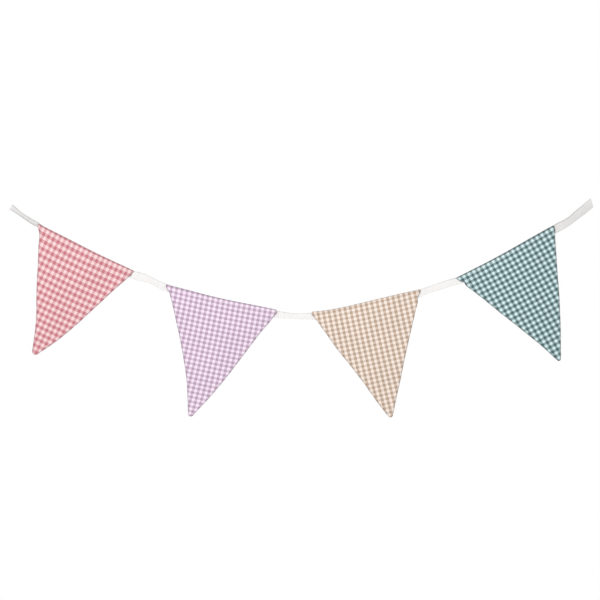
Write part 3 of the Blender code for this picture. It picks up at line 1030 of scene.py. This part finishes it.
def tape_material(name, settings):
    """Cotton twill tape: slanting ribs that turn back at the middle, with a firm cord at each edge."""
    book = NodeBook(name)
    x, y = book.weave_places()
    rib = settings.rib / MM
    slant = book.math("ADD", x, book.math("ABSOLUTE", y))
    ribs = book.math("SINE", book.math("MULTIPLY", slant, 2.0 * math.pi / rib))
    picks = book.math("SINE", book.math("MULTIPLY", x, 4.0 * math.pi / rib))
    inside = book.math("SUBTRACT", TAPE_WIDTH / 2.0 - settings.selvedge / MM, book.math("ABSOLUTE", y))
    body = book.math("MULTIPLY", inside, 4.0, clamp=True)
    relief = book.math(
        "ADD",
        book.math("MULTIPLY", ribs, body),
        book.math("MULTIPLY", picks, book.math("SUBTRACT", 1.0, body)),
    )
    fibres = book.noise(book.math("MULTIPLY", x, 0.6), book.math("MULTIPLY", y, 3.5))
    cloud = book.object_noise(45.0)
    light = book.math(
        "ADD",
        book.math("MULTIPLY_ADD", fibres, 0.06, 0.96),
        book.math("MULTIPLY", book.math("SUBTRACT", cloud, 0.5), 0.06),
    )
    # Painted shade: the grooves between the ribs are a little darker in colour.
    light = book.math("MULTIPLY", light, book.math("MULTIPLY_ADD", relief, 0.02, 0.98))
    # Painted shade from the shade attribute: the lines along the edges, the curled part and the ends.
    light = book.math("MULTIPLY", light, book.math("SUBTRACT", 1.0, book.shade_value()))
    book.put(book.shader.inputs["Base Color"], book.dim((*settings.colour, 1.0), light))
    book.bump(book.math("ADD", relief, fibres), 0.4, 0.00010)
    book.cotton(0.85)
    return book.material


def thread_material(name, colour):
    """Off-white sewing thread with a fine twist."""
    book = NodeBook(name)
    twist = book.object_noise(2500.0, 1.0)
    shade = book.mix(twist, tuple(0.85 * c for c in colour) + (1.0,), (*colour, 1.0))
    book.put(book.shader.inputs["Base Color"], shade)
    book.bump(twist, 0.2, 0.00005)
    book.cotton(0.6)
    return book.material


class BUNTING_OT_pennants(bpy.types.Operator):
    """Make the four sewn pennants, each with its own gingham"""

    bl_idname = "bunting.pennants"
    bl_label = "Pennants"

    def execute(self, context):
        settings = context.scene.bunting_pennants
        threads = {
            "rose_gingham": (settings.rose, settings.rose_pale),
            "lilac_gingham": (settings.lilac, settings.lilac_pale),
            "beige_gingham": (settings.beige, settings.beige_pale),
            "teal_gingham": (settings.teal, settings.teal_pale),
        }
        for pennant in PENNANTS:
            check = CHECKS[pennant.name]
            slot = check.slot
            dye, pale = threads[slot]
            material = gingham_material(slot.replace("_", " "), dye, pale, check, settings)
            points, faces, uv, shade = pennant_mesh(pennant, settings)
            obj = mesh_object(pennant.name + "_cloth", points, faces, material, uv, shade)
            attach(obj, "root")
            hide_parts(pennant.name)
        return {"FINISHED"}


class BUNTING_OT_tape(bpy.types.Operator):
    """Make the woven cotton tape with its two cut ends"""

    bl_idname = "bunting.tape"
    bl_label = "Cotton tape"

    def execute(self, context):
        settings = context.scene.bunting_tape
        material = tape_material("white cotton tape", settings)
        points, faces, uv, shade = tape_mesh(settings)
        obj = mesh_object("tape_cloth", points, faces, material, uv, shade)
        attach(obj, "root")
        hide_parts("tape")
        return {"FINISHED"}


class BUNTING_OT_stitching(bpy.types.Operator):
    """Sew each pennant to the tape with one row of stitches that shows on both sides"""

    bl_idname = "bunting.stitching"
    bl_label = "Stitching"

    def execute(self, context):
        settings = context.scene.bunting_tape
        material = thread_material("sewing thread", tuple(settings.colour))
        rings = np.concatenate([stitch_rows(pennant, settings) for pennant in PENNANTS])
        count, ring_count, sides = rings.shape[:3]
        faces = stitch_faces(count, ring_count, sides)
        obj = mesh_object("stitching", rings.reshape(-1, 3), faces, material)
        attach(obj, "root")
        return {"FINISHED"}


def photo_point(column, row):
    """World x and z, in metres, of a point of the photograph in pixels from its top left corner."""
    across = (column - 0.5 - PHOTO_ORIGIN[0]) * PHOTO_SCALE
    up = (PHOTO_ORIGIN[1] + 0.5 - row) * PHOTO_SCALE
    return across * MM, up * MM


def area_light(name, place, target, size, power):
    """A square soft light at a place, turned to its target."""
    data = bpy.data.lights.new(name, "AREA")
    data.size = size
    data.energy = power
    light = bpy.data.objects.new(name, data)
    light.location = place
    light.rotation_euler = (Vector(target) - Vector(place)).to_track_quat("-Z", "Y").to_euler()
    bpy.context.scene.collection.objects.link(light)


class BUNTING_OT_stage(bpy.types.Operator):
    """Set a plain pale floor whose outer ring is a painted white glow, even white surroundings, one soft
    light and the camera
    """

    bl_idname = "bunting.stage"
    bl_label = "Stage"

    def execute(self, context):
        settings = context.scene.bunting_stage
        scene = context.scene
        scene.view_settings.view_transform = "Standard"
        self.make_surroundings(scene, settings)
        self.make_floor(settings)
        x, z = photo_point(PHOTO_SIDE / 2.0, PHOTO_SIDE / 2.0)
        place = (x + KEY_PLACE[0], KEY_PLACE[1], z + KEY_PLACE[2])
        area_light("key light", place, (x, 0.0, z), KEY_SIZE, settings.key)
        self.make_camera(scene, settings, x, z)
        return {"FINISHED"}

    def make_surroundings(self, scene, settings):
        """White to the eye, and softer as a light, so that the folds keep their shading."""
        world = bpy.data.worlds.new("white surroundings")
        world.use_nodes = True
        tree = world.node_tree
        background = tree.nodes["Background"]
        background.inputs["Color"].default_value = (1.0, 1.0, 1.0, 1.0)
        seen = tree.nodes.new("ShaderNodeLightPath")
        strength = tree.nodes.new("ShaderNodeMapRange")
        strength.inputs["To Min"].default_value = settings.ambient
        strength.inputs["To Max"].default_value = 1.0
        tree.links.new(seen.outputs["Is Camera Ray"], strength.inputs["Value"])
        tree.links.new(strength.outputs["Result"], background.inputs["Strength"])
        scene.world = world

    def make_floor(self, settings):
        """A plain pale square well under the bunting, whose outer ring is a painted glow: its colour
        fades to black and it emits white before its edge.

        The glow is a straight ramp of the distance from the middle, eased at both ends.
        """
        book = NodeBook("pale floor")
        parts = book.tree.nodes.new("ShaderNodeSeparateXYZ")
        book.tree.links.new(book.tree.nodes.new("ShaderNodeTexCoord").outputs["Object"], parts.inputs[0])
        x = book.math("SUBTRACT", parts.outputs[0], FLOOR_MIDDLE * MM)
        squares = [book.math("MULTIPLY", place, place) for place in (x, parts.outputs[1])]
        away = book.math("SQRT", book.math("ADD", *squares))
        # Ramp of the painted glow at the floor's outer ring.
        glow = book.tree.nodes.new("ShaderNodeMapRange")
        glow.interpolation_type = "SMOOTHSTEP"
        for end, share in zip(("From Min", "From Max"), FLOOR_GLOW):
            glow.inputs[end].default_value = share * FLOOR_REACH * MM
        book.put(glow.inputs["Value"], away)
        pale = book.mix(book.object_noise(6.0), (0.88, 0.88, 0.87, 1.0), (0.92, 0.92, 0.91, 1.0))
        # Painted glow: where the floor fades out, its colour turns black and it emits white, though it is
        # no lamp.
        tone = book.mix(glow.outputs["Result"], pale, (0.0, 0.0, 0.0, 1.0))
        book.put(book.shader.inputs["Base Color"], tone)
        book.put(book.shader.inputs["Emission Strength"], glow.outputs["Result"])
        book.shader.inputs["Emission Color"].default_value = (1.0, 1.0, 1.0, 1.0)
        book.shader.inputs["Roughness"].default_value = 0.8
        book.shader.inputs["Specular IOR Level"].default_value = 0.0
        drop = settings.floor_drop / MM
        corners = np.array(((-1.0, -1.0), (1.0, -1.0), (1.0, 1.0), (-1.0, 1.0))) * FLOOR_REACH
        points = np.column_stack((corners[:, 0] + FLOOR_MIDDLE, corners[:, 1], np.full(4, -drop)))
        floor = mesh_object("floor", points, np.array(((0, 1, 2, 3),)), book.material)

    def make_camera(self, scene, settings, x, z):
        """Face on and level, far enough for the photograph's frame at the cloth."""
        data = bpy.data.cameras.new("photo camera")
        data.lens = settings.lens
        side = PHOTO_SIDE * PHOTO_SCALE * MM
        camera = bpy.data.objects.new("photo camera", data)
        camera.location = (x, -side * data.lens / data.sensor_width, z)
        camera.rotation_euler = (math.radians(90.0), 0.0, 0.0)
        data.clip_end = 50.0
        scene.collection.objects.link(camera)
        scene.camera = camera


class BUNTING_PT_panel(bpy.types.Panel):
    """Lists the parts of the bunting and their sizes"""

    bl_label = "Gingham bunting"
    bl_idname = "BUNTING_PT_panel"
    bl_space_type = "VIEW_3D"
    bl_region_type = "UI"
    bl_category = "Bunting"

    def draw(self, context):
        scene = context.scene
        parts = (
            ("bunting.pennants", scene.bunting_pennants),
            ("bunting.tape", scene.bunting_tape),
            ("bunting.stitching", None),
            ("bunting.stage", scene.bunting_stage),
        )
        for operator, settings in parts:
            box = self.layout.box()
            box.operator(operator)
            for name in getattr(settings, "__annotations__", ()):
                box.prop(settings, name)


CLASSES = (
    PennantSettings, TapeSettings, StageSettings,
    BUNTING_OT_pennants, BUNTING_OT_tape, BUNTING_OT_stitching, BUNTING_OT_stage,
    BUNTING_PT_panel,
)


def register():
    for cls in CLASSES:
        bpy.utils.register_class(cls)
    bpy.types.Scene.bunting_pennants = PointerProperty(type=PennantSettings)
    bpy.types.Scene.bunting_tape = PointerProperty(type=TapeSettings)
    bpy.types.Scene.bunting_stage = PointerProperty(type=StageSettings)


def unregister():
    del bpy.types.Scene.bunting_stage
    del bpy.types.Scene.bunting_tape
    del bpy.types.Scene.bunting_pennants
    for cls in reversed(CLASSES):
        bpy.utils.unregister_class(cls)


def main():
    register()
    bpy.ops.bunting.pennants()
    bpy.ops.bunting.tape()
    bpy.ops.bunting.stitching()
    bpy.ops.bunting.stage()


if __name__ == "__main__":
    main()
